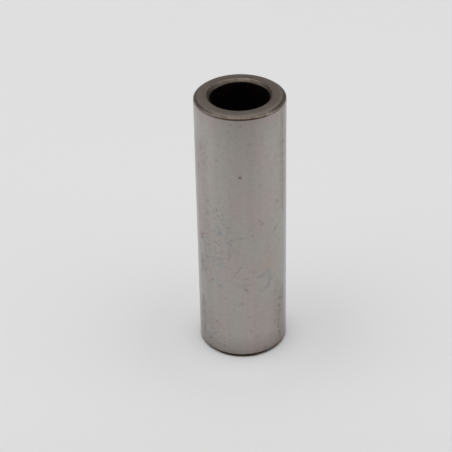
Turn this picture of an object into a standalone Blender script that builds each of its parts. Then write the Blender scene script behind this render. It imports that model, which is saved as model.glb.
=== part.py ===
# Gudgeon pin of a piston engine, standing on one end.
#
# One hollow steel pin, turned and ground all over: a straight ground outside, a straight bore,
# two flat end faces, and a chamfer at each edge. Units are metres, +Z is up. The origin is the
# centre of the lower end face, so the pin's axis is the Z axis.

import math

import bpy
from mathutils import Vector

# Driving dimensions
OUTER_DIAMETER = 0.022          # ground outside, the running surface in piston and rod
LENGTH = 0.0695                 # from end face to end face
WALL_THICKNESS = 0.00385        # leaves a 14.3 mm bore
OUTER_CHAMFER = 0.0006          # at 45 degrees, measured along the end face
BORE_CHAMFER_WIDTH = 0.00072    # measured along the end face
BORE_CHAMFER_DEPTH = 0.00052    # measured down the bore
GROUND_EDGE_ROUND = 0.0008      # blends the outer chamfer into the ground outside
FACE_EDGE_ROUND = 0.0003        # breaks the edge between the end face and the outer chamfer

# Fineness of the round shapes
SEGMENTS = 128                  # round the axis
GROUND_ROUND_STEPS = 4
FACE_ROUND_STEPS = 3
SMOOTH_ANGLE = math.radians(20)  # a sharper turn than this is shaded as an edge
MERGE_DISTANCE = 0.00001

# Finish of the ground steel
STEEL_COLOUR = (0.42, 0.40, 0.38, 1.0)
STEEL_ROUGHNESS = 0.3
STEEL_METALLIC = 1.0

PART_NAME = "gudgeon_pin"


def clear_scene():
    """Removes what the file holds, so that the script can be run again."""
    for scene_object in list(bpy.data.objects):
        bpy.data.objects.remove(scene_object, do_unlink=True)


def make_collection(name):
    """Adds a collection to the scene for the part's objects."""
    collection = bpy.data.collections.new(name)
    bpy.context.scene.collection.children.link(collection)
    return collection


def make_steel():
    """Ground, hardened steel."""
    material = bpy.data.materials.new("ground_steel")
    material.use_nodes = True
    shader = material.node_tree.nodes["Principled BSDF"]
    shader.inputs["Base Color"].default_value = STEEL_COLOUR
    shader.inputs["Roughness"].default_value = STEEL_ROUGHNESS
    shader.inputs["Metallic"].default_value = STEEL_METALLIC
    material.diffuse_color = STEEL_COLOUR
    return material


def rounded_corner(before, corner, after, radius, steps):
    """Points of the arc that blends two straight stretches which meet at a corner.

    The arc touches both stretches. It never takes more than half of the shorter one.
    """
    inward = (before - corner).normalized()
    outward = (after - corner).normalized()
    half_angle = inward.angle(outward) / 2
    shorter = min((before - corner).length, (after - corner).length)
    reach = min(radius / math.tan(half_angle), shorter / 2)
    arc_radius = reach * math.tan(half_angle)
    centre = corner + (inward + outward).normalized() * arc_radius / math.sin(half_angle)
    start = corner + inward * reach - centre
    end = corner + outward * reach - centre
    turn = start.angle_signed(end)
    points = []
    for step in range(steps + 1):
        angle = -turn * step / steps
        across = Vector((-start.y, start.x))
        points.append(centre + start * math.cos(angle) + across * math.sin(angle))
    return points


def pin_section():
    """The closed section of the wall, as (radius, height) points.

    It runs down the outside from the upper face to the lower one, and up the bore.
    """
    outer_radius = OUTER_DIAMETER / 2
    bore_radius = outer_radius - WALL_THICKNESS
    face_outer_radius = outer_radius - OUTER_CHAMFER
    face_inner_radius = bore_radius + BORE_CHAMFER_WIDTH

    # Each corner has the radius of its round and the number of steps in it; 0 leaves it sharp.
    corners = [
        (face_inner_radius, LENGTH, 0, 0),
        (face_outer_radius, LENGTH, FACE_EDGE_ROUND, FACE_ROUND_STEPS),
        (outer_radius, LENGTH - OUTER_CHAMFER, GROUND_EDGE_ROUND, GROUND_ROUND_STEPS),
        (outer_radius, OUTER_CHAMFER, GROUND_EDGE_ROUND, GROUND_ROUND_STEPS),
        (face_outer_radius, 0, FACE_EDGE_ROUND, FACE_ROUND_STEPS),
        (face_inner_radius, 0, 0, 0),
        (bore_radius, BORE_CHAMFER_DEPTH, 0, 0),
        (bore_radius, LENGTH - BORE_CHAMFER_DEPTH, 0, 0),
    ]
    places = [Vector((radius, height)) for radius, height, _, _ in corners]
    section = []
    for index, (_, _, round_radius, steps) in enumerate(corners):
        before = places[index - 1]
        corner = places[index]
        after = places[(index + 1) % len(places)]
        if round_radius > 0:
            section.extend(rounded_corner(before, corner, after, round_radius, steps))
        else:
            section.append(corner)
    return section


def make_pin(collection, steel):
    """Turns the section round the Z axis into one closed hollow pin."""
    section = pin_section()
    mesh = bpy.data.meshes.new(PART_NAME)
    vertices = [(point.x, 0, point.y) for point in section]
    edges = [(index, (index + 1) % len(section)) for index in range(len(section))]
    mesh.from_pydata(vertices, edges, [])
    mesh.materials.append(steel)

    pin = bpy.data.objects.new(PART_NAME, mesh)
    collection.objects.link(pin)

    turn = pin.modifiers.new("turned", 'SCREW')
    turn.axis = 'Z'
    turn.angle = math.tau
    turn.steps = SEGMENTS
    turn.render_steps = SEGMENTS
    turn.use_merge_vertices = True
    turn.merge_threshold = MERGE_DISTANCE
    return pin


def shade_as_turned(pin):
    """Keeps the turned mesh, with smooth rounds and crisp edges at the end faces."""
    depsgraph = bpy.context.evaluated_depsgraph_get()
    mesh = bpy.data.meshes.new_from_object(pin.evaluated_get(depsgraph))
    section_mesh = pin.data
    pin.modifiers.clear()
    pin.data = mesh
    bpy.data.meshes.remove(section_mesh)
    mesh.name = PART_NAME
    mesh.shade_smooth()
    mesh.set_sharp_from_angle(angle=SMOOTH_ANGLE)


def main():
    clear_scene()
    collection = make_collection(PART_NAME)
    pin = make_pin(collection, make_steel())
    shade_as_turned(pin)


main()
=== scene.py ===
import math

import bpy
from mathutils import Matrix, Vector


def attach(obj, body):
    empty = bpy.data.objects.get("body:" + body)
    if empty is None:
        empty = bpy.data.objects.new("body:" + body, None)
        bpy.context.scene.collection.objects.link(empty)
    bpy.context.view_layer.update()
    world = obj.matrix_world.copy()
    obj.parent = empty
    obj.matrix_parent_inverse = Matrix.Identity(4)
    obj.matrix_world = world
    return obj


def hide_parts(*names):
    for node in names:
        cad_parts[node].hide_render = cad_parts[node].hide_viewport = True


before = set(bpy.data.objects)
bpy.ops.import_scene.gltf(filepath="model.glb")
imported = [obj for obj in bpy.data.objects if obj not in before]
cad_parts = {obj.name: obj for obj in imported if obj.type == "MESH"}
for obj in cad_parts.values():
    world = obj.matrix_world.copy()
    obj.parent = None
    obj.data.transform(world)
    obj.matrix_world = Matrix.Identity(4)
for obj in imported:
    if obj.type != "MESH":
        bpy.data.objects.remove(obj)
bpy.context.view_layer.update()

# Looks of a ground steel gudgeon pin that stands on one end.
#
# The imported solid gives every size. A finer mesh of the same section stands for it, with a material
# for each kind of surface: the ground outside, the turned end faces, the turned edges, the foot edge
# and the bore. Units are metres. Round the pin, angles are in degrees from the front (-Y), positive
# to the right.

NODE = "gudgeon_pin"
PIECE = "pin_finish"
MM = 0.001

# Directions
FRONT = (0, -1, 0)
BACK_RIGHT = (0.8, 0.6, 0)

# Rounds of the section's corners, and how far the end faces fall away towards their outer edges
GROUND_EDGE_ROUND = 0.65 * MM
FACE_EDGE_ROUND = 0.35 * MM
MOUTH_EDGE_ROUND = 0.30 * MM
BORE_EDGE_ROUND = 0.25 * MM
FACE_CROWN = 0.06 * MM

# The turned edges aren't quite round the axis of the ground outside. The outer chamfer is wider at the
# sides, most of all at the right. The mouth of the bore is cut a little to the left, so it is deeper
# there and narrowest at the front right; it is widest at the back.
CHAMFER_SHIFT = 0.04 * MM
CHAMFER_WIDENING = 0.18 * MM
MOUTH_SHIFT = 0.12 * MM
MOUTH_WIDENING = 0.36 * MM
MOUTH_DEEPENING = 0.07 * MM
MOUTH_SIDE_NARROWING = 0.12 * MM
MOUTH_FRONT_NARROWING = 0.12 * MM
MOUTH_FADE = 1.0 * MM

# Fineness of the mesh
SEGMENTS = 512
GROUND_ROUND_STEPS = 12
FACE_ROUND_STEPS = 6
MOUTH_ROUND_STEPS = 8
BORE_ROUND_STEPS = 4
OUTSIDE_STEPS = 36
BORE_STEPS = 24
CHAMFER_STEPS = 2
FACE_STEPS = 12
LEVEL_TOLERANCE = 0.001 * MM
SMOOTH_ANGLE = math.radians(35)
CHAMFER_HALF_TURN = math.radians(22.5)

# Places of the materials on the pin's mesh
OUTSIDE, END_FACE, EDGE, BORE, FOOT_EDGE = range(5)

# Camera, fitted to the pin's outlines in the photograph
CAMERA_PLACE = (0, -328.49 * MM, 249.90 * MM)
CAMERA_YAW = math.radians(-0.678)
CAMERA_PITCH = math.radians(-33.487)
CAMERA_ROLL = math.radians(-1.248)
CAMERA_FOCAL_PIXELS = 1590.1
CAMERA_CLIP_START = 10 * MM
CAMERA_CLIP_END = 20
IMAGE_PIXELS = 452
SENSOR_WIDTH_MM = 36.0

# Colours, as linear red, green and blue
GROUND_STEEL = (0.410, 0.388, 0.366)
TURNED_STEEL = (0.154, 0.131, 0.116)
CHAMFER_STEEL = (0.119, 0.101, 0.087)
EDGE_STEEL = (0.280, 0.240, 0.210)
STAINED_EDGE = (0.150, 0.112, 0.090)
FOOT_EDGE_PAINTED_SHADOW = (0.016, 0.006, 0.003)
MOUTH_STEEL = (0.068, 0.056, 0.046)
MOUTH_RIM_STEEL = (0.089, 0.075, 0.063)
MOUTH_GLINT_STEEL = (0.170, 0.142, 0.117)
BORE_BLACK = (0.040, 0.030, 0.026)
BLACK = (0, 0, 0)
RUST = (0.265, 0.185, 0.122)
FLOOR_COLOUR = (0.752, 0.757, 0.764)

# Tints that multiply a colour
PINK_TINT = (1.028, 0.972, 0.972)
END_TINT = (0.97, 0.93, 0.93)
BACK_TINT = (1.07, 1.005, 0.98)
FOOT_SHADE_TINT = (0.745, 0.705, 0.695)
FOOT_RIM_SHADE_TINT = (0.95, 0.92, 0.91)
DIM_BAND_TINT = (0.93, 0.935, 0.945)
WARM_BAND_TINT = (0.93, 0.895, 0.885)
SMUDGE_TINT = (0.82, 0.82, 0.83)
FILM_TINT = (0.87, 0.92, 0.96)
PALE_FILM_TINT = (0.91, 0.985, 1.025)
AMBER_TINT = (1.05, 1.01, 0.92)
STREAK_TINT = (0.87, 0.86, 0.87)
SPECK_TINT = (0.87, 0.86, 0.87)
FAINT_SPOT_TINT = (0.87, 0.86, 0.87)
RED_SPOT_TINT = (0.86, 0.71, 0.73)
DARK_SPOT_TINT = (0.63, 0.60, 0.60)

# Colours that the turned edges and the foot edge mirror at a glancing angle; the foot edge's is dark,
# painted shade where the pin stands
EDGE_GLANCE = (1.0, 1.0, 1.0)
FOOT_SHADED_GLANCE = (0.12, 0.09, 0.07)

# Noise of the ground outside: scales along X, Y and Z, or all ways, per metre
GROUND_LINE_SCALES = (90, 90, 9000)
CLOUD_SCALES = (130, 130, 75)
COLUMN_SCALES = (420, 420, 22)
MOTTLING_SCALES = (900, 900, 1500)
SMEAR_SCALES = (480, 480, 800)
PATCH_SCALE = 850
GRIT_SCALE = 1500

# The noise values that a pattern spans, and what it multiplies the colour by at both of them
NOISE_RANGE = (0.3, 0.7)
PINK_RANGE = (0.40, 0.62)
MOTTLING_RANGE = (0.25, 0.75)
MOTTLING_SHADES = (0.95, 1.05)
COLUMN_SHADES = (0.97, 1.03)

# Roughness of the ground outside, what film and rust add to it, and the relief of its fine lines
GROUND_ROUGHNESS = (0.28, 0.32)
FILM_ROUGHENING = 0.06
RUST_ROUGHENING = 0.4
GROUND_LINE_DEPTH = 0.002 * MM
GROUND_LINE_STRENGTH = 0.5

# By height: a stain at the upper end, measured from it, then painted shade on the foot and its rim
END_STAIN_START = 4 * MM
END_STAIN_FULL = 0.8 * MM
FOOT_SHADE_FULL = -1 * MM
FOOT_SHADE_END = 8 * MM
FOOT_RIM_FULL = 0.8 * MM
FOOT_RIM_END = 2.6 * MM

# A slightly paler zone above the middle of the front
PALE_ZONE_START = 36 * MM
PALE_ZONE_FULL = 46 * MM
PALE_ZONE_FADE = 60 * MM
PALE_ZONE_END = 66 * MM
PALE_ZONE_SIDE_FADE = math.radians(42)
PALE_ZONE_SIDE_END = math.radians(58)
PALE_ZONE_GAIN = 0.045

# Dark smears, by the angle from the front
SMEAR_START = math.radians(30)
SMEAR_FULL = math.radians(58)
SMEAR_FRONT_SHARE = 0.08
SMEAR_RANGE = (0.40, 0.72)
SMEAR_DARKENING = 0.11

# Marks on the ground outside. Spots are (degrees, height in mm, radius in mm); strokes are lines
# through (degrees, height in mm, half width in mm). Their outlines waver a little.
WAVER = 0.5 * MM
WAVER_SCALE = 900
RUST_SPOTS = [(-1, 53.3, 0.42)]
DARK_SPOTS = [
    (13.5, 36.7, 0.25), (-61, 33.0, 0.45), (-47.5, 3.8, 0.38), (-36, 9.9, 0.26), (10.5, 7.9, 0.25),
    (20, 6.0, 0.24), (55, 12.6, 0.43), (54, 6.2, 0.38), (-42, 22.2, 0.26), (56, 4.4, 0.36),
    (54.5, 8.3, 0.26),
]
FAINT_SPOTS = [
    (-46, 61.7, 0.28), (-28, 61.7, 0.35), (-31, 57.4, 0.34), (-14, 65.4, 0.35), (-12, 64.2, 0.32),
    (-12, 67.5, 0.4), (0, 67.3, 0.42), (11, 62.4, 0.34), (28, 63.4, 0.32), (7, 60.0, 0.34),
    (66, 59.3, 0.5), (63, 51.0, 0.42), (-44, 61.3, 0.36), (-14, 34.0, 0.36), (-28, 36.8, 0.46),
    (-38, 6.2, 0.38), (-42, 6.9, 0.32), (-26, 5.3, 0.34), (-53.5, 3.6, 0.34), (55, 9.6, 0.36),
    (55, 11.0, 0.36), (0, 16.6, 0.50), (31, 14.9, 0.36), (48, 36.9, 0.55), (5.5, 20.8, 0.38),
    (-30, 21.3, 0.60), (-48, 32.2, 0.5), (-17.5, 29.8, 0.38), (8.5, 12.3, 0.42), (-23, 17.8, 0.36),
    (-51, 28.4, 0.5), (-56, 29.8, 0.5), (26, 39.6, 0.5), (23, 40.6, 0.4), (-17, 39.0, 0.5),
    (-48, 41.0, 0.6), (-48, 44.8, 0.5), (-36, 42.6, 0.30), (-27, 40.4, 0.34), (-58, 58.8, 0.8),
    (57, 43.5, 0.5), (70, 48.5, 0.7), (-62, 12.5, 0.6), (-64, 10.0, 0.6), (-33, 2.9, 0.5),
    (-25, 2.7, 0.6), (57, 3.4, 0.7), (30, 1.9, 0.6), (-66, 22.5, 0.8), (-63, 25.5, 0.9),
    (-68, 53.0, 0.9), (24, 50.5, 0.45), (-15.5, 30.7, 0.45), (52, 44.0, 0.6), (15, 35.3, 0.30),
]
RED_SPOTS = [
    (-15, 31.6, 0.26), (55.5, 15.0, 0.40), (58, 14.7, 0.50), (61, 14.3, 0.50), (64, 13.9, 0.45),
    (-63, 33.6, 0.8), (-59, 34.2, 0.5), (64, 59.6, 0.5),
]
DARK_STROKES = [
    [(-19, 34.7, 0.55), (-12, 35.6, 0.42), (-4, 36.1, 0.30), (5, 36.2, 0.22)],
    [(0, 28.6, 0.22), (-2, 27.4, 0.26), (-6, 26.3, 0.26), (-13, 24.5, 0.20)],
    [(8, 26.2, 0.22), (14, 25.9, 0.26)],
    [(1, 23.9, 0.22), (8, 24.2, 0.22)],
    [(-56, 24.0, 0.35), (-50, 24.6, 0.35)],
]
FILM_STROKES = [
    [(0, 21.9, 0.6), (4, 22.4, 0.7), (9, 22.2, 0.6)],
    [(3, 21.6, 0.5), (6, 20.4, 0.6)],
    [
        (21, 24.1, 0.50), (28, 24.4, 0.85), (34, 25.1, 0.75), (38, 23.9, 0.70), (38.5, 22.4, 0.70),
        (36, 21.0, 0.6),
    ],
    [(35, 20.8, 0.60), (29, 20.2, 0.60), (22, 19.9, 0.40)],
]
PALE_FILM_STROKES = [
    [(-31, 38.2, 0.8), (-31, 36.6, 0.8)],
    [(-34, 28.6, 1.3), (-28, 27.4, 1.4)],
    [(-35, 24.4, 0.8), (-33, 21.4, 1.0), (-28, 20.9, 0.9)],
]
AMBER_STROKES = [
    [(32, 28.2, 0.7), (25, 26.0, 0.8)],
    [(42, 25.9, 0.6), (46, 24.6, 0.7)],
]
AMBER_STRENGTH = 0.8

# Soft bands and smudges near both sides and round the foot, as strokes
DIM_BANDS = [
    [(67, 14.0, 1.3), (66, 40.0, 1.1)],
    [(-66, 18.0, 1.2), (-68, 60.0, 1.0)],
]
WARM_BANDS = [
    [(67, 40.0, 1.2), (67, 50.0, 2.0), (68, 60.0, 2.6), (68, 67.0, 2.0)],
    [(52, 8.0, 1.4), (51, 14.0, 2.0), (55, 18.5, 2.4)],
    [(-68, 5.0, 2.2), (-66, 14.0, 1.8)],
]
SMUDGES = [
    [(65, 3.0, 2.2), (64, 10.0, 2.1), (63, 17.0, 0.9)],
    [(65, 41.0, 1.2), (67, 50.0, 1.9), (67, 60.0, 2.0), (65, 69.0, 1.5)],
    [(-65, 4.0, 1.8), (-65, 10.0, 2.4), (-62, 15.0, 0.7)],
    [(-60, 23.0, 1.2), (-62, 27.0, 1.2)],
    [(14, 0.8, 0.6), (38, 0.9, 0.8), (60, 1.1, 0.8)],
]

# Rougher, grainy, darker patches, most of them at the left
ROUGH_PATCHES = [
    (-42, 33, 10.5), (-60, 29, 8.0), (-34, 43, 6.0), (-47, 7, 5.5), (-60, 57, 4.5), (62, 8, 5.0),
]
GRAIN_RANGE = (0.44, 0.64)
ROUGH_DARKENING = 0.20

# Small specks all round: the spacing of their cells, their radius and the share of cells that hold one
SPECK_SPACING = 3.2 * MM
SPECK_RADIUS = 0.42 * MM
SPECK_SHARE = 0.4

# Softness of marks: where the mark is full and where it ends, as shares of its radius or half width
ROUGH_PATCH_SOFTNESS = (0.1, 1.1)
STROKE_SOFTNESS = (0.4, 1.2)
SPECK_SOFTNESS = (0.3, 1.2)
FAINT_SPOT_SOFTNESS = (0.5, 1.3)
RED_SPOT_SOFTNESS = (0.4, 1.3)
DARK_SPOT_SOFTNESS = (0.6, 1.25)
RUST_SOFTNESS = (0.4, 1.35)

# Patchiness of marks: the noise values that it spans, and the share of the mark at both of them
SMUDGE_PATCHINESS = (0.30, 0.62, 0.55, 1.0)
ROUGH_PATCHINESS = (0.38, 0.60, 0.3, 1.0)
FILM_PATCHINESS = (0.38, 0.54, 0.38, 1.0)
PALE_FILM_PATCHINESS = (0.30, 0.50, 0.4, 1.0)
STREAK_PATCHINESS = (0.3, 0.6, 0.4, 1.0)
FACE_LINE_PATCHINESS = (0.35, 0.55, 0.3, 1.0)

# Rings of the turned surfaces: how fast their noise changes across the pin and outwards, per metre
FACE_RINGS = (60, 9000)
FACE_GROOVES = (45, 2600)
EDGE_RINGS = (60, 7000)
FACE_CLOUD_SCALE = 420
EDGE_MARK_SCALE = 850
FACE_RING_SHADES = (0.92, 1.08)
FACE_GROOVE_SHADES = (0.91, 1.09)
FACE_CLOUD_SHADES = (0.93, 1.07)
EDGE_RING_SHADES = (0.94, 1.06)
EDGE_MARK_RANGE = (0.35, 0.65)
EDGE_MARK_SHADES = (0.74, 1.16)
TURNED_ROUGHNESS = 0.36
FACE_RING_DEPTH = 0.004 * MM
EDGE_RING_DEPTH = 0.003 * MM
RING_STRENGTH = 0.6

# The end face is paler towards its outer edge, by shares of the outer radius, and browner at the back
FACE_PALE_RADII = (0.74, 0.93)
FACE_PALENESS = 1.28
FACE_BACK_RANGE = (0.3, 0.9)

# Painted sheen at the front of the end faces, with a painted highlight line and a dark line beside it on the
# right
FRONT_SHEEN_FULL = math.radians(30)
FRONT_SHEEN_END = math.radians(60)
FRONT_SHEEN_RADII = (0.82, 0.89)
FRONT_SHEEN_GAIN = 0.10
FACE_LINE_MIDDLE = math.radians(32)
FACE_LINE_FULL = math.radians(14)
FACE_LINE_END = math.radians(28)
FACE_LINE_HALF_WIDTHS = (0.03 * MM, 0.14 * MM)
HIGHLIGHT_LINE_RADIUS = 9.92 * MM
HIGHLIGHT_LINE_GAIN = 0.45
DARK_LINE_RADIUS = 10.17 * MM
DARK_LINE_GAIN = -0.32

# Mouth of the bore: widths from the bore's wall, the painted glint on its rim and the side where it is
# brightest, and painted light and shade of its edge
MOUTH_DARK_WIDTH = 0.10 * MM
MOUTH_GLINT_WIDTHS = (0.74 * MM, 0.94 * MM)
MOUTH_EDGE_WIDTH = 0.35 * MM
GLINT_ANGLE = math.radians(140)
GLINT_RANGE = (0.6, 1.0)
GLINT_SHADES = (0.86, 1.42)
MOUTH_BACK_RANGE = (0.75, 1.0)
MOUTH_EDGE_SIDE_LIGHT = 1.4
MOUTH_EDGE_BACK_SHADE = 0.25

# Brown stain at the front of the outer edge, and painted shade on the foot edge where the pin stands: near
# black at the front and darker all round
EDGE_WIDTHS = (0.35 * MM, 0.12 * MM)
STAIN_AND_SHADOW_MIDDLE = math.radians(-1)
STAIN_AND_SHADOW_FULL = math.radians(28)
STAIN_END = math.radians(48)
FOOT_EDGE_SHADOW_END = math.radians(75)
FOOT_EDGE_SHADE_SHARE = 0.45

# Dark marks on the outer chamfer, left and right of the front
RIM_MARK_MIDDLE = math.radians(53)
RIM_MARK_FULL = math.radians(5)
RIM_MARK_END = math.radians(16)
RIM_MARK_RANGE = (0.42, 0.60)
RIM_MARK_GAIN = -0.28

# A painted highlight on the outer chamfer, right of the front
RIM_HIGHLIGHT_MIDDLE = math.radians(39)
RIM_HIGHLIGHT_FULL = math.radians(2)
RIM_HIGHLIGHT_END = math.radians(10)
RIM_HIGHLIGHT_GAIN = 0.32

# Bore
BORE_MARK_SCALES = (1400, 1400, 60)
BORE_SHADES = (0.7, 1.3)
BORE_ROUGHNESS = 0.45
BORE_MARK_DEPTH = 0.01 * MM
BORE_MARK_STRENGTH = 0.6

# Floor: its size, its fine grain and its finish
FLOOR_SIZE = 6.0
FLOOR_GRAIN_SCALE = 900
FLOOR_GRAIN_SHADES = (0.995, 1.005)
FLOOR_ROUGHNESS = 0.9
FLOOR_SPECULAR = 0.2

# Painted shade: the floor is a little greyer towards the front, out of the picture
FLOOR_FRONT_SHADE_START = 20 * MM
FLOOR_FRONT_SHADE_END = 160 * MM
FLOOR_FRONT_SHADE = 0.30

# Painted light: the floor is paler close round the pin, which lightens the pin's shadow there
FLOOR_NEAR_PAINTED_LIGHT = (1.088, 1.090, 1.095)
FLOOR_PAINTED_LIGHT_END = 26 * MM

# Painted contact shadow: a thin dark line where the pin stands, measured from the ground outside
CONTACT_SHADOW_START = -0.3 * MM
CONTACT_SHADOW_END = 0.20 * MM
CONTACT_SHADOW_FRONT_RANGE = (0.82, 1.0)
CONTACT_SHADOW_FRONT = (0.52, 0.42, 0.33)
CONTACT_SHADOW_SIDE = (0.94, 0.92, 0.90)

# Light of the room, by the sine of the elevation
WORLD_BY_HEIGHT = [
    (0.000, (0.40, 0.385, 0.365)),
    (0.340, (0.38, 0.365, 0.350)),
    (0.450, (0.42, 0.405, 0.395)),
    (0.560, (0.52, 0.510, 0.500)),
    (0.680, (0.78, 0.775, 0.765)),
    (0.770, (0.86, 0.860, 0.855)),
    (0.875, (1.00, 1.000, 1.000)),
    (0.966, (1.70, 1.700, 1.700)),
    (1.000, (2.40, 2.400, 2.400)),
]
WORLD_PEAK = 2.4

# The room is dimmer low at the front and, very little, at the back right
DIM_HEIGHTS = (0.55, 0.87)
FRONT_DIM_RANGE = (0.25, 0.75)
FRONT_DIMMING = 0.95
FRONT_GLOOM = (0.022, 0.014, 0.009)
BACK_RIGHT_DIM_RANGE = (0.3, 0.95)
BACK_RIGHT_DIMMING = 0.05

# Lamps: name, azimuth in degrees and power in watts. Azimuth 0 is the front, 90 the right.
LAMPS = [
    ("left_lamp", -75, 5.0),
    ("right_lamp", 75, 3.3),
]
LAMP_ELEVATION = math.radians(50)
LAMP_DISTANCE = 1.5
LAMP_SIZE = 1.8


def measure_section(node):
    """Reads the sizes of the pin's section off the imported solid."""
    points = [vertex.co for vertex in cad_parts[node].data.vertices]
    length = max(point.z for point in points)
    outer_radius = max(point.x for point in points)
    radii = [math.hypot(point.x, point.y) for point in points]
    face_radii = [radius for radius, point in zip(radii, points) if point.z > length - LEVEL_TOLERANCE]
    bore_heights = [point.z for radius, point in zip(radii, points) if radius < min(radii) + LEVEL_TOLERANCE]
    chamfer_line = max(radius + point.z for radius, point in zip(radii, points))
    return {
        "length": length,
        "outer_radius": outer_radius,
        "bore_radius": min(radii),
        "outer_chamfer": outer_radius + length - chamfer_line,
        "bore_chamfer": min(face_radii) - min(radii),
        "bore_chamfer_depth": length - max(bore_heights),
    }


SECTION = measure_section(NODE)
LENGTH = SECTION["length"]
OUTER_RADIUS = SECTION["outer_radius"]
BORE_RADIUS = SECTION["bore_radius"]
OUTER_CHAMFER = SECTION["outer_chamfer"]
BORE_CHAMFER = SECTION["bore_chamfer"]
BORE_CHAMFER_DEPTH = SECTION["bore_chamfer_depth"]
MIDDLE_RADIUS = (BORE_RADIUS + OUTER_RADIUS) / 2


# Shape of the pin

def rounded_corner(before, corner, after, radius, steps):
    """Points of the arc that blends two straight stretches which meet at a corner."""
    inward = (before - corner).normalized()
    outward = (after - corner).normalized()
    half_angle = inward.angle(outward) / 2
    reach = radius / math.tan(half_angle)
    centre = corner + (inward + outward).normalized() * radius / math.sin(half_angle)
    start = corner + inward * reach - centre
    turn = start.angle_signed(corner + outward * reach - centre)
    across = Vector((-start.y, start.x))
    points = []
    for step in range(steps + 1):
        angle = -turn * step / steps
        points.append(centre + start * math.cos(angle) + across * math.sin(angle))
    return points


def limited(value):
    """The value, kept between 0 and 1."""
    return min(max(value, 0), 1)


def crowned(point):
    """Lowers the outer part of each end face a little, as a turned face falls away to its edge."""
    face_inner = BORE_RADIUS + BORE_CHAMFER
    outwards = (point.x - face_inner) / (OUTER_RADIUS - OUTER_CHAMFER - face_inner)
    from_end = min(point.y, LENGTH - point.y)
    drop = FACE_CROWN * limited(outwards) ** 2 * max(0, 1 - from_end / OUTER_CHAMFER)
    return Vector((point.x, point.y + drop if point.y < LENGTH / 2 else point.y - drop))


def pin_section():
    """The closed section of the wall as (radius, height) points, down the outside and up the bore."""
    face_outer = OUTER_RADIUS - OUTER_CHAMFER
    face_inner = BORE_RADIUS + BORE_CHAMFER

    # Each corner: its place, its round, the steps in the round, and the steps of the stretch after it
    corners = [
        (face_inner, LENGTH, MOUTH_EDGE_ROUND, MOUTH_ROUND_STEPS, FACE_STEPS),
        (face_outer, LENGTH, FACE_EDGE_ROUND, FACE_ROUND_STEPS, CHAMFER_STEPS),
        (OUTER_RADIUS, LENGTH - OUTER_CHAMFER, GROUND_EDGE_ROUND, GROUND_ROUND_STEPS, OUTSIDE_STEPS),
        (OUTER_RADIUS, OUTER_CHAMFER, GROUND_EDGE_ROUND, GROUND_ROUND_STEPS, CHAMFER_STEPS),
        (face_outer, 0, FACE_EDGE_ROUND, FACE_ROUND_STEPS, FACE_STEPS),
        (face_inner, 0, MOUTH_EDGE_ROUND, MOUTH_ROUND_STEPS, CHAMFER_STEPS),
        (BORE_RADIUS, BORE_CHAMFER_DEPTH, BORE_EDGE_ROUND, BORE_ROUND_STEPS, BORE_STEPS),
        (BORE_RADIUS, LENGTH - BORE_CHAMFER_DEPTH, BORE_EDGE_ROUND, BORE_ROUND_STEPS, CHAMFER_STEPS),
    ]
    places = [Vector((radius, height)) for radius, height, *_ in corners]
    arcs = []
    for index, (_, _, radius, steps, _) in enumerate(corners):
        after = places[(index + 1) % len(places)]
        arcs.append(rounded_corner(places[index - 1], places[index], after, radius, steps))
    section = []
    for index, arc in enumerate(arcs):
        stretch_start = arc[-1]
        stretch_end = arcs[(index + 1) % len(arcs)][0]
        stretch_steps = corners[index][4]
        section.extend(arc)
        for step in range(1, stretch_steps):
            section.append(stretch_start.lerp(stretch_end, step / stretch_steps))
    return [crowned(point) for point in section]


def nearness_to_edge(point, edge_radius, depth):
    """1 at an edge of the end face, falling to 0 at the face's middle and at a depth below the edge."""
    on_face = limited((point.x - MIDDLE_RADIUS) / (edge_radius - MIDDLE_RADIUS))
    from_end = min(point.y, LENGTH - point.y)
    return on_face * limited(1 - from_end / depth)


def edge_shares(point):
    """How far a point of the section follows each turned edge, 0 to 1 each.

    They are the mouth of the bore, the outer chamfer, and the edge where the mouth meets the bore.
    """
    outer = nearness_to_edge(point, OUTER_RADIUS - OUTER_CHAMFER, OUTER_CHAMFER)
    inner = nearness_to_edge(point, BORE_RADIUS + BORE_CHAMFER, BORE_CHAMFER_DEPTH)
    bore_edge = 0
    if point.x < BORE_RADIUS + BORE_CHAMFER:
        towards_bore = 1 - (point.x - BORE_RADIUS) / BORE_CHAMFER
        past_edge = min(point.y, LENGTH - point.y) - BORE_CHAMFER_DEPTH
        inner *= 1 - towards_bore
        bore_edge = towards_bore * limited(1 - past_edge / MOUTH_FADE)
    return inner, outer, bore_edge


def edge_changes(angle):
    """Extra width of the bore's mouth and of the outer chamfer, and extra depth of the mouth.

    The angle is measured from +X, towards the back.
    """
    leftwards = -math.cos(angle)
    back = ((1 + math.sin(angle)) / 2) ** 2
    front = ((1 - math.sin(angle)) / 2) ** 2
    mouth = leftwards * MOUTH_SHIFT + back * MOUTH_WIDENING
    mouth -= leftwards ** 2 * MOUTH_SIDE_NARROWING + front * MOUTH_FRONT_NARROWING
    chamfer = abs(leftwards) * CHAMFER_WIDENING - leftwards * CHAMFER_SHIFT
    deeper = leftwards * MOUTH_SHIFT * BORE_CHAMFER_DEPTH / BORE_CHAMFER + back * MOUTH_DEEPENING
    return mouth, chamfer, deeper


def surface_kind(place):
    """Which material a place on the section has."""
    radius = place.x
    from_end = min(place.y, LENGTH - place.y)
    outside_start = OUTER_CHAMFER + GROUND_EDGE_ROUND * math.tan(CHAMFER_HALF_TURN)
    if radius > OUTER_RADIUS - OUTER_CHAMFER:
        if from_end > outside_start:
            return OUTSIDE
        return EDGE if place.y > LENGTH / 2 else FOOT_EDGE
    if radius > BORE_RADIUS + BORE_CHAMFER:
        return END_FACE
    return BORE if from_end > BORE_CHAMFER_DEPTH else EDGE


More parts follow.
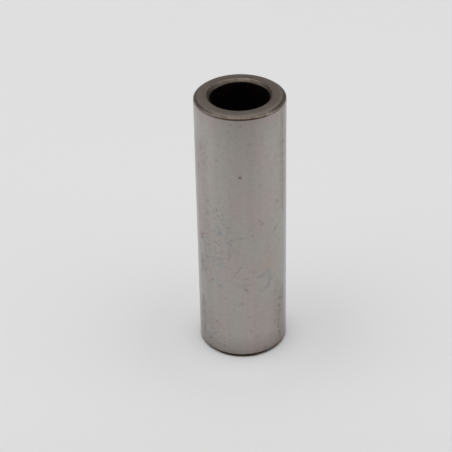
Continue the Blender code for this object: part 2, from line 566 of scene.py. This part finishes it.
def make_pin(materials):
    """Turns the section round the Z axis into one closed mesh."""
    section = pin_section()
    shares = [edge_shares(point) for point in section]
    vertices = []
    for segment in range(SEGMENTS):
        angle = math.tau * segment / SEGMENTS
        mouth, chamfer, deeper = edge_changes(angle)
        for point, (inner, outer, bore_edge) in zip(section, shares):
            radius = point.x + inner * mouth - outer * chamfer
            inwards = bore_edge * deeper * (1 if point.y < LENGTH / 2 else -1)
            vertices.append((radius * math.cos(angle), radius * math.sin(angle), point.y + inwards))
    count = len(section)
    faces = []
    kinds = []
    for segment in range(SEGMENTS):
        here = segment * count
        there = (segment + 1) % SEGMENTS * count
        for index in range(count):
            after = (index + 1) % count
            faces.append((here + index, here + after, there + after, there + index))
            kinds.append(surface_kind((section[index] + section[after]) / 2))
    mesh = bpy.data.meshes.new(PIECE)
    mesh.from_pydata(vertices, [], faces)
    for material in materials:
        mesh.materials.append(material)
    mesh.polygons.foreach_set("material_index", kinds)
    mesh.shade_smooth()
    mesh.set_sharp_from_angle(angle=SMOOTH_ANGLE)
    pin = bpy.data.objects.new(PIECE, mesh)
    bpy.context.scene.collection.objects.link(pin)
    return pin


# Short ways to build node trees

def shade(colour, factor):
    """A colour made lighter or darker."""
    return tuple(channel * factor for channel in colour)


def unrolled(degrees, height):
    """A place on the ground outside, as metres round the pin from the front and metres up."""
    return (math.radians(degrees) * OUTER_RADIUS, height * MM, 0.0)


class Nodes:
    """A node tree with one method for each kind of node or pattern that the materials use."""

    def __init__(self, tree):
        self.tree = tree

    def add(self, kind, **settings):
        node = self.tree.nodes.new(kind)
        for name, value in settings.items():
            setattr(node, name, value)
        return node

    def feed(self, socket, value):
        """Links an output to the socket, or sets the socket to a constant."""
        if isinstance(value, bpy.types.NodeSocket):
            self.tree.links.new(value, socket)
        elif isinstance(value, tuple) and len(value) == 3 and socket.type == 'RGBA':
            socket.default_value = (*value, 1)
        else:
            socket.default_value = value

    def maths(self, operation, first, second=0.0):
        node = self.add('ShaderNodeMath', operation=operation)
        self.feed(node.inputs[0], first)
        self.feed(node.inputs[1], second)
        return node.outputs[0]

    def vector(self, operation, first, second=(0, 0, 0)):
        node = self.add('ShaderNodeVectorMath', operation=operation)
        self.feed(node.inputs[0], first)
        self.feed(node.inputs[1], second)
        return node.outputs['Value' if operation in ('LENGTH', 'DOT_PRODUCT', 'DISTANCE') else 'Vector']

    def combine(self, x, y, z):
        node = self.add('ShaderNodeCombineXYZ')
        for socket, value in zip(node.inputs, (x, y, z)):
            self.feed(socket, value)
        return node.outputs[0]

    def separate(self, vector):
        node = self.add('ShaderNodeSeparateXYZ')
        self.feed(node.inputs[0], vector)
        return node.outputs

    def noise(self, vector, scale=1.0, detail=3.0, roughness=0.5, output='Fac'):
        node = self.add('ShaderNodeTexNoise')
        self.feed(node.inputs['Vector'], vector)
        node.inputs['Scale'].default_value = scale
        node.inputs['Detail'].default_value = detail
        node.inputs['Roughness'].default_value = roughness
        return node.outputs[output]

    def span(self, value, low, high, to_low=0.0, to_high=1.0):
        """Maps low..high smoothly to to_low..to_high."""
        node = self.add('ShaderNodeMapRange', interpolation_type='SMOOTHSTEP')
        for name, number in (
            ('Value', value), ('From Min', low), ('From Max', high), ('To Min', to_low), ('To Max', to_high)
        ):
            self.feed(node.inputs[name], number)
        return node.outputs['Result']

    def fade(self, value, full, gone):
        """A mask that is 1 up to a value and falls smoothly to 0 at another."""
        return self.span(value, full, gone, 1.0, 0.0)

    def mix(self, factor, first, second):
        node = self.add('ShaderNodeMix', data_type='RGBA')
        self.feed(node.inputs['Factor'], factor)
        self.feed(node.inputs[6], first)
        self.feed(node.inputs[7], second)
        return node.outputs[2]

    def ramp(self, value, stops):
        """Maps a value to a colour, through (position, colour) stops."""
        node = self.add('ShaderNodeValToRGB')
        self.feed(node.inputs[0], value)
        elements = node.color_ramp.elements
        while len(elements) < len(stops):
            elements.new(0.5)
        for element, (position, colour) in zip(elements, stops):
            element.position = position
            element.color = (*colour, 1)
        return node.outputs[0]

    def bump(self, height, distance, strength):
        node = self.add('ShaderNodeBump')
        self.feed(node.inputs['Height'], height)
        node.inputs['Distance'].default_value = distance
        node.inputs['Strength'].default_value = strength
        return node.outputs['Normal']

    def multiply(self, colour, factor):
        node = self.add('ShaderNodeVectorMath', operation='SCALE')
        self.feed(node.inputs[0], colour)
        self.feed(node.inputs['Scale'], factor)
        return node.outputs['Vector']

    def tinted(self, colour, mask, tint):
        """The colour, multiplied by a tint where the mask is 1."""
        return self.mix(mask, colour, self.vector('MULTIPLY', colour, tint))

    def lightened(self, colour, mask, gain):
        """The colour, made lighter by a share of itself where the mask is 1; a negative gain darkens."""
        return self.multiply(colour, self.maths('ADD', 1.0, self.maths('MULTIPLY', mask, gain)))


class Steel(Nodes):
    """A steel material, with the position on the pin in the forms that its patterns need."""

    def __init__(self, name):
        self.material = bpy.data.materials.new(name)
        self.material.use_nodes = True
        super().__init__(self.material.node_tree)
        self.shader = self.tree.nodes['Principled BSDF']
        self.place = self.add('ShaderNodeTexCoord').outputs['Object']
        self.x, self.y, self.z = self.separate(self.place)
        self.radius = self.vector('LENGTH', self.combine(self.x, self.y, 0.0))
        self.backwards = self.maths('DIVIDE', self.y, self.radius)

        self.turn = self.maths('ARCTAN2', self.x, self.maths('MULTIPLY', self.y, -1))
        self.from_front = self.maths('ABSOLUTE', self.turn)
        unrolled_place = self.combine(self.maths('MULTIPLY', self.turn, OUTER_RADIUS), self.z, 0.0)
        shift = self.noise(self.place, scale=WAVER_SCALE, output='Color')
        shift = self.vector('SUBTRACT', shift, (0.5, 0.5, 0.5))
        shift = self.vector('MULTIPLY', shift, (WAVER, WAVER, 0))
        self.wavering = self.vector('ADD', unrolled_place, shift)

    def stretched_noise(self, scales, detail=3.0, roughness=0.6):
        """Noise with its own scale along each axis."""
        return self.noise(self.vector('MULTIPLY', self.place, scales), detail=detail, roughness=roughness)

    def rings(self, across, outwards):
        """Noise in fine rings round the axis."""
        place = self.combine(
            self.maths('MULTIPLY', self.x, across),
            self.maths('MULTIPLY', self.y, across),
            self.maths('MULTIPLY', self.maths('ADD', self.radius, self.z), outwards),
        )
        return self.noise(place)

    def shaded(self, colour, value, value_range, shades):
        """The colour, multiplied by one shade where the value is low and another where it is high."""
        return self.multiply(colour, self.span(value, *value_range, *shades))

    def near_angle(self, turn, middle, full, end):
        """A mask round the pin, 1 to both sides of the middle and fading to 0."""
        return self.fade(self.maths('ABSOLUTE', self.maths('SUBTRACT', turn, middle)), full, end)

    def nearest(self, distances):
        """The smallest of some distances."""
        smallest = distances[0]
        for distance in distances[1:]:
            smallest = self.maths('MINIMUM', smallest, distance)
        return smallest

    def spots(self, spots, softness):
        """Mask of small round marks, each (degrees, height in mm, radius in mm)."""
        distances = []
        for degrees, height, radius in spots:
            away = self.vector('DISTANCE', self.wavering, unrolled(degrees, height))
            distances.append(self.maths('DIVIDE', away, radius * MM))
        return self.fade(self.nearest(distances), *softness)

    def specks(self, spacing, radius, share):
        """Mask of small dots strewn over the surface, one in some of the cells of a loose grid."""
        cells = self.add('ShaderNodeTexVoronoi')
        self.feed(cells.inputs['Vector'], self.place)
        cells.inputs['Scale'].default_value = 1 / spacing
        picked = self.add('ShaderNodeSeparateColor')
        self.feed(picked.inputs[0], cells.outputs['Color'])
        core, edge = (part * radius / spacing for part in SPECK_SOFTNESS)
        dot = self.fade(cells.outputs['Distance'], core, edge)
        return self.maths('MULTIPLY', dot, self.maths('LESS_THAN', picked.outputs[0], share))

    def strokes(self, strokes):
        """Mask of drawn-out marks, each a line through (degrees, height in mm, half width in mm)."""
        distances = []
        for stroke in strokes:
            for start, end in zip(stroke, stroke[1:]):
                first = Vector(unrolled(*start[:2]))
                along = Vector(unrolled(*end[:2])) - first
                away = self.vector('SUBTRACT', self.wavering, tuple(first))
                share = self.vector('DOT_PRODUCT', away, tuple(along / along.length_squared))
                share = self.maths('MINIMUM', self.maths('MAXIMUM', share, 0.0), 1.0)
                foot = self.vector('MULTIPLY', self.combine(share, share, share), tuple(along))
                widening = self.maths('MULTIPLY', share, (end[2] - start[2]) * MM)
                width = self.maths('ADD', widening, start[2] * MM)
                distances.append(self.maths('DIVIDE', self.vector('DISTANCE', away, foot), width))
        return self.fade(self.nearest(distances), *STROKE_SOFTNESS)

    def patchy(self, mask, noise, patchiness):
        """A mask that is weaker where the noise is low."""
        return self.maths('MULTIPLY', mask, self.span(noise, *patchiness))

    def finish(self, colour, roughness, normal, metallic=1.0):
        self.feed(self.shader.inputs['Base Color'], colour)
        self.feed(self.shader.inputs['Roughness'], roughness)
        self.feed(self.shader.inputs['Metallic'], metallic)
        self.feed(self.shader.inputs['Normal'], normal)
        return self.material


# Ground outside

def with_zones(steel, colour):
    """Adds a paler zone above the middle, a browner upper end and painted shade at the foot."""
    pale = steel.span(steel.z, PALE_ZONE_START, PALE_ZONE_FULL)
    pale = steel.maths('MULTIPLY', pale, steel.fade(steel.z, PALE_ZONE_FADE, PALE_ZONE_END))
    at_front = steel.fade(steel.from_front, PALE_ZONE_SIDE_FADE, PALE_ZONE_SIDE_END)
    colour = steel.lightened(colour, steel.maths('MULTIPLY', pale, at_front), PALE_ZONE_GAIN)

    upper_end = steel.span(steel.z, LENGTH - END_STAIN_START, LENGTH - END_STAIN_FULL)
    colour = steel.tinted(colour, upper_end, END_TINT)
    # painted shade: darker towards the foot and its rim
    colour = steel.tinted(colour, steel.fade(steel.z, FOOT_SHADE_FULL, FOOT_SHADE_END), FOOT_SHADE_TINT)
    return steel.tinted(colour, steel.fade(steel.z, FOOT_RIM_FULL, FOOT_RIM_END), FOOT_RIM_SHADE_TINT)


def with_smudges(steel, colour):
    """Adds soft bands and smudges near the sides, and dark smears there and at the back."""
    smears = steel.stretched_noise(SMEAR_SCALES, detail=5, roughness=0.7)
    colour = steel.tinted(colour, steel.strokes(DIM_BANDS), DIM_BAND_TINT)
    colour = steel.tinted(colour, steel.strokes(WARM_BANDS), WARM_BAND_TINT)
    smudges = steel.patchy(steel.strokes(SMUDGES), smears, SMUDGE_PATCHINESS)
    colour = steel.tinted(colour, smudges, SMUDGE_TINT)

    sides = steel.span(steel.from_front, SMEAR_START, SMEAR_FULL, SMEAR_FRONT_SHARE, 1.0)
    smeared = steel.maths('MULTIPLY', steel.span(smears, *SMEAR_RANGE), sides)
    return steel.lightened(colour, smeared, -SMEAR_DARKENING)


def with_grains(steel, colour, patches):
    """Adds the grains of the rougher patches, and small specks all round."""
    grit = steel.noise(steel.place, scale=GRIT_SCALE, roughness=0.6)
    rough = steel.spots(ROUGH_PATCHES, ROUGH_PATCH_SOFTNESS)
    grains = steel.maths('MULTIPLY', rough, steel.span(grit, *GRAIN_RANGE))
    grains = steel.patchy(grains, patches, ROUGH_PATCHINESS)
    colour = steel.lightened(colour, grains, -ROUGH_DARKENING)
    return steel.tinted(colour, steel.specks(SPECK_SPACING, SPECK_RADIUS, SPECK_SHARE), SPECK_TINT)


def with_strokes(steel, colour, film, patches):
    """Adds the dried film, a paler one, amber strokes and thin dark streaks."""
    colour = steel.tinted(colour, film, FILM_TINT)
    pale_film = steel.patchy(steel.strokes(PALE_FILM_STROKES), patches, PALE_FILM_PATCHINESS)
    colour = steel.tinted(colour, pale_film, PALE_FILM_TINT)
    amber = steel.maths('MULTIPLY', steel.strokes(AMBER_STROKES), AMBER_STRENGTH)
    colour = steel.tinted(colour, amber, AMBER_TINT)
    streaks = steel.patchy(steel.strokes(DARK_STROKES), patches, STREAK_PATCHINESS)
    return steel.tinted(colour, streaks, STREAK_TINT)


def ground_material():
    """Ground outside: fine lines round the pin, faint clouds, stains, spots and dried film."""
    steel = Steel("ground_outside")
    lines = steel.stretched_noise(GROUND_LINE_SCALES)
    clouds = steel.stretched_noise(CLOUD_SCALES)
    columns = steel.stretched_noise(COLUMN_SCALES)
    mottling = steel.stretched_noise(MOTTLING_SCALES, detail=4, roughness=0.65)
    patches = steel.noise(steel.place, scale=PATCH_SCALE, roughness=0.6)

    pink_steel = tuple(channel * part for channel, part in zip(GROUND_STEEL, PINK_TINT))
    colour = steel.mix(steel.span(clouds, *PINK_RANGE), GROUND_STEEL, pink_steel)
    colour = steel.shaded(colour, mottling, MOTTLING_RANGE, MOTTLING_SHADES)
    colour = steel.shaded(colour, columns, NOISE_RANGE, COLUMN_SHADES)
    colour = with_zones(steel, colour)
    colour = with_smudges(steel, colour)
    colour = with_grains(steel, colour, patches)
    film = steel.patchy(steel.strokes(FILM_STROKES), patches, FILM_PATCHINESS)
    colour = with_strokes(steel, colour, film, patches)
    for spots, softness, tint in (
        (FAINT_SPOTS, FAINT_SPOT_SOFTNESS, FAINT_SPOT_TINT),
        (RED_SPOTS, RED_SPOT_SOFTNESS, RED_SPOT_TINT),
        (DARK_SPOTS, DARK_SPOT_SOFTNESS, DARK_SPOT_TINT),
    ):
        colour = steel.tinted(colour, steel.spots(spots, softness), tint)
    rust = steel.spots(RUST_SPOTS, RUST_SOFTNESS)
    colour = steel.mix(rust, colour, RUST)

    roughness = steel.span(clouds, *NOISE_RANGE, *GROUND_ROUGHNESS)
    roughness = steel.maths('ADD', roughness, steel.maths('MULTIPLY', film, FILM_ROUGHENING))
    roughness = steel.maths('ADD', roughness, steel.maths('MULTIPLY', rust, RUST_ROUGHENING))
    metallic = steel.maths('SUBTRACT', 1.0, rust)
    relief = steel.bump(lines, GROUND_LINE_DEPTH, GROUND_LINE_STRENGTH)
    return steel.finish(colour, roughness, relief, metallic)


# Turned surfaces and bore

def face_material():
    """Turned end faces: rings round the bore, paler towards the outer edge and browner at the back."""
    steel = Steel("turned_face")
    rings = steel.rings(*FACE_RINGS)
    grooves = steel.rings(*FACE_GROOVES)
    clouds = steel.noise(steel.place, scale=FACE_CLOUD_SCALE, roughness=0.6)
    paler = steel.span(steel.radius, *(share * OUTER_RADIUS for share in FACE_PALE_RADII))
    colour = steel.mix(paler, TURNED_STEEL, shade(TURNED_STEEL, FACE_PALENESS))
    colour = steel.shaded(colour, rings, NOISE_RANGE, FACE_RING_SHADES)
    colour = steel.shaded(colour, grooves, NOISE_RANGE, FACE_GROOVE_SHADES)
    colour = steel.shaded(colour, clouds, NOISE_RANGE, FACE_CLOUD_SHADES)
    colour = steel.tinted(colour, steel.span(steel.backwards, *FACE_BACK_RANGE), BACK_TINT)

    # a painted sheen at the front edge, with a painted highlight line and a dark line beside it on the right
    front = steel.fade(steel.from_front, FRONT_SHEEN_FULL, FRONT_SHEEN_END)
    outer = steel.span(steel.radius, *(share * OUTER_RADIUS for share in FRONT_SHEEN_RADII))
    colour = steel.lightened(colour, steel.maths('MULTIPLY', front, outer), FRONT_SHEEN_GAIN)
    at_lines = steel.near_angle(steel.turn, FACE_LINE_MIDDLE, FACE_LINE_FULL, FACE_LINE_END)
    at_lines = steel.patchy(at_lines, clouds, FACE_LINE_PATCHINESS)
    for radius, gain in ((HIGHLIGHT_LINE_RADIUS, HIGHLIGHT_LINE_GAIN), (DARK_LINE_RADIUS, DARK_LINE_GAIN)):
        away = steel.maths('ABSOLUTE', steel.maths('SUBTRACT', steel.radius, radius))
        line = steel.maths('MULTIPLY', steel.fade(away, *FACE_LINE_HALF_WIDTHS), at_lines)
        colour = steel.lightened(colour, line, gain)
    return steel.finish(colour, TURNED_ROUGHNESS, steel.bump(rings, FACE_RING_DEPTH, RING_STRENGTH))


def mouth_colour(steel):
    """Mouth of the bore: darker towards the bore, with a painted glint on its rim that is brightest on one
    side.
    """
    towards_rim = steel.span(steel.radius, BORE_RADIUS + MOUTH_DARK_WIDTH, BORE_RADIUS + BORE_CHAMFER)
    colour = steel.mix(towards_rim, MOUTH_STEEL, MOUTH_RIM_STEEL)
    glint = steel.span(steel.radius, *(BORE_RADIUS + width for width in MOUTH_GLINT_WIDTHS))
    glint_direction = (math.sin(GLINT_ANGLE), -math.cos(GLINT_ANGLE), 0)
    towards_glint = steel.maths(
        'DIVIDE', steel.vector('DOT_PRODUCT', steel.place, glint_direction), steel.radius
    )
    colour = steel.mix(glint, colour, steel.shaded(MOUTH_GLINT_STEEL, towards_glint, GLINT_RANGE, GLINT_SHADES))

    # painted light and shade: the edge where the mouth meets the bore is lighter at the sides and front, and
    # dark at the back
    edge_lighting = steel.span(steel.backwards, *MOUTH_BACK_RANGE, MOUTH_EDGE_SIDE_LIGHT, MOUTH_EDGE_BACK_SHADE)
    at_edge = steel.fade(steel.radius, BORE_RADIUS, BORE_RADIUS + MOUTH_EDGE_WIDTH)
    return steel.lightened(colour, at_edge, steel.maths('SUBTRACT', edge_lighting, 1.0))


def rim_colour(steel, marks):
    """Outer chamfer: brown where it meets the ground outside, with dark marks and a painted highlight."""
    at_outside = steel.span(steel.radius, *(OUTER_RADIUS - width for width in EDGE_WIDTHS))
    at_front = steel.near_angle(steel.turn, STAIN_AND_SHADOW_MIDDLE, STAIN_AND_SHADOW_FULL, STAIN_END)
    colour = steel.mix(at_outside, CHAMFER_STEEL, EDGE_STEEL)
    colour = steel.mix(steel.maths('MULTIPLY', at_outside, at_front), colour, STAINED_EDGE)
    marked = steel.near_angle(steel.from_front, RIM_MARK_MIDDLE, RIM_MARK_FULL, RIM_MARK_END)
    marked = steel.maths('MULTIPLY', marked, steel.span(marks, *RIM_MARK_RANGE))
    colour = steel.lightened(colour, marked, RIM_MARK_GAIN)
    # painted highlight on the chamfer, right of the front
    rim_highlight = steel.near_angle(steel.turn, RIM_HIGHLIGHT_MIDDLE, RIM_HIGHLIGHT_FULL, RIM_HIGHLIGHT_END)
    return steel.lightened(colour, rim_highlight, RIM_HIGHLIGHT_GAIN)


def edge_material(name, glance, is_foot):
    """Turned edges with their rounds: the mouth of the bore and the outer chamfer."""
    steel = Steel(name)
    rings = steel.rings(*EDGE_RINGS)
    marks = steel.noise(steel.place, scale=EDGE_MARK_SCALE, detail=4, roughness=0.65)
    is_outer = steel.maths('GREATER_THAN', steel.radius, MIDDLE_RADIUS)
    colour = steel.mix(is_outer, mouth_colour(steel), rim_colour(steel, marks))
    colour = steel.shaded(colour, rings, NOISE_RANGE, EDGE_RING_SHADES)
    colour = steel.shaded(colour, marks, EDGE_MARK_RANGE, EDGE_MARK_SHADES)
    metallic = 1.0
    # painted shade where the pin stands: the foot edge is darker all round, and near black and dull at the
    # front
    if is_foot:
        painted_shadow = steel.near_angle(steel.turn, STAIN_AND_SHADOW_MIDDLE, STAIN_AND_SHADOW_FULL, FOOT_EDGE_SHADOW_END)
        colour = steel.mix(painted_shadow, steel.multiply(colour, FOOT_EDGE_SHADE_SHARE), FOOT_EDGE_PAINTED_SHADOW)
        metallic = steel.maths('SUBTRACT', 1.0, painted_shadow)
        steel.shader.inputs['Specular IOR Level'].default_value = 0.0
    steel.shader.inputs['Specular Tint'].default_value = (*glance, 1)
    relief = steel.bump(rings, EDGE_RING_DEPTH, RING_STRENGTH)
    return steel.finish(colour, TURNED_ROUGHNESS, relief, metallic)


def bore_material():
    """Black, oily bore with marks along its length."""
    steel = Steel("dark_bore")
    marks = steel.stretched_noise(BORE_MARK_SCALES, detail=4, roughness=0.5)
    darkest, lightest = (shade(BORE_BLACK, factor) for factor in BORE_SHADES)
    colour = steel.mix(marks, darkest, lightest)
    return steel.finish(colour, BORE_ROUGHNESS, steel.bump(marks, BORE_MARK_DEPTH, BORE_MARK_STRENGTH))


# Surroundings

def make_floor():
    """A pale floor, which takes the pin's shadow, with painted shade towards the front and where the pin
    stands, and painted light close round the pin.
    """
    bpy.ops.mesh.primitive_plane_add(size=FLOOR_SIZE)
    floor = bpy.context.active_object
    floor.name = "floor"
    material = bpy.data.materials.new("floor_paper")
    material.use_nodes = True
    nodes = Nodes(material.node_tree)
    shader = material.node_tree.nodes['Principled BSDF']
    place = nodes.add('ShaderNodeTexCoord').outputs['Object']
    grain = nodes.noise(place, scale=FLOOR_GRAIN_SCALE, detail=2)
    darkest, lightest = (shade(FLOOR_COLOUR, factor) for factor in FLOOR_GRAIN_SHADES)
    colour = nodes.mix(grain, darkest, lightest)
    from_axis = nodes.vector('LENGTH', place)
    # painted light: the floor is paler close round the pin, lifting its shadow
    colour = nodes.tinted(colour, nodes.fade(from_axis, OUTER_RADIUS, FLOOR_PAINTED_LIGHT_END), FLOOR_NEAR_PAINTED_LIGHT)

    # painted contact shadow: a thin dark line where the pin stands, browner at the front
    from_pin = nodes.maths('SUBTRACT', from_axis, OUTER_RADIUS)
    contact_shadow = nodes.fade(from_pin, CONTACT_SHADOW_START, CONTACT_SHADOW_END)
    forwards = nodes.vector('DOT_PRODUCT', place, FRONT)
    at_front = nodes.span(nodes.maths('DIVIDE', forwards, from_axis), *CONTACT_SHADOW_FRONT_RANGE)
    colour = nodes.tinted(colour, contact_shadow, nodes.mix(at_front, CONTACT_SHADOW_SIDE, CONTACT_SHADOW_FRONT))

    # painted shade: the floor greys towards the front
    front_shade = nodes.span(forwards, FLOOR_FRONT_SHADE_START, FLOOR_FRONT_SHADE_END, 0.0, FLOOR_FRONT_SHADE)
    nodes.feed(shader.inputs['Base Color'], nodes.mix(front_shade, colour, BLACK))
    shader.inputs['Roughness'].default_value = FLOOR_ROUGHNESS
    shader.inputs['Specular IOR Level'].default_value = FLOOR_SPECULAR
    floor.data.materials.append(material)


def make_world():
    """A pale, soft room: brightest overhead, dim behind the camera."""
    world = bpy.data.worlds.new("room")
    bpy.context.scene.world = world
    world.use_nodes = True
    nodes = Nodes(world.node_tree)
    direction = nodes.add('ShaderNodeTexCoord').outputs['Generated']
    height = nodes.separate(direction)[2]
    room = nodes.ramp(height, [(place, shade(colour, 1 / WORLD_PEAK)) for place, colour in WORLD_BY_HEIGHT])
    low = nodes.fade(height, *DIM_HEIGHTS)
    for towards, dim_range, dimming, gloom in (
        (FRONT, FRONT_DIM_RANGE, FRONT_DIMMING, FRONT_GLOOM),
        (BACK_RIGHT, BACK_RIGHT_DIM_RANGE, BACK_RIGHT_DIMMING, BLACK),
    ):
        dim = nodes.span(nodes.vector('DOT_PRODUCT', direction, towards), *dim_range)
        dim = nodes.maths('MULTIPLY', nodes.maths('MULTIPLY', dim, low), dimming)
        room = nodes.mix(dim, room, gloom)
    background = world.node_tree.nodes['Background']
    nodes.feed(background.inputs['Color'], room)
    background.inputs['Strength'].default_value = WORLD_PEAK


def make_lamp(name, azimuth, power):
    """A soft square lamp that faces the pin's foot."""
    light = bpy.data.lights.new(name, 'AREA')
    light.shape = 'SQUARE'
    light.size = LAMP_SIZE
    light.energy = power
    lamp = bpy.data.objects.new(name, light)
    bpy.context.scene.collection.objects.link(lamp)
    turn = math.radians(azimuth)
    level = math.cos(LAMP_ELEVATION)
    away = Vector((math.sin(turn) * level, -math.cos(turn) * level, math.sin(LAMP_ELEVATION)))
    lamp.location = away * LAMP_DISTANCE
    lamp.rotation_mode = 'QUATERNION'
    lamp.rotation_quaternion = away.to_track_quat('Z', 'Y')


def make_camera():
    """The camera at the photograph's place, angle and focal length."""
    forward = Vector((
        math.sin(CAMERA_YAW) * math.cos(CAMERA_PITCH),
        math.cos(CAMERA_YAW) * math.cos(CAMERA_PITCH),
        math.sin(CAMERA_PITCH),
    ))
    level_right = forward.cross(Vector((0, 0, 1))).normalized()
    level_up = level_right.cross(forward)
    right = level_right * math.cos(CAMERA_ROLL) + level_up * math.sin(CAMERA_ROLL)
    up = level_up * math.cos(CAMERA_ROLL) - level_right * math.sin(CAMERA_ROLL)
    camera_data = bpy.data.cameras.new("camera")
    camera_data.sensor_width = SENSOR_WIDTH_MM
    camera_data.lens = CAMERA_FOCAL_PIXELS / IMAGE_PIXELS * SENSOR_WIDTH_MM
    camera_data.clip_start = CAMERA_CLIP_START
    camera_data.clip_end = CAMERA_CLIP_END
    camera = bpy.data.objects.new("camera", camera_data)
    bpy.context.scene.collection.objects.link(camera)
    turn = Matrix((right, up, -forward)).transposed().to_4x4()
    camera.matrix_world = Matrix.Translation(CAMERA_PLACE) @ turn
    bpy.context.scene.camera = camera


def main():
    bpy.context.scene.view_settings.view_transform = 'Standard'
    pin = make_pin([
        ground_material(),
        face_material(),
        edge_material("turned_edge", EDGE_GLANCE, is_foot=False),
        bore_material(),
        edge_material("foot_edge", FOOT_SHADED_GLANCE, is_foot=True),
    ])
    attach(pin, "root")
    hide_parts(NODE)
    make_floor()
    make_world()
    for name, azimuth, power in LAMPS:
        make_lamp(name, azimuth, power)
    make_camera()


main()
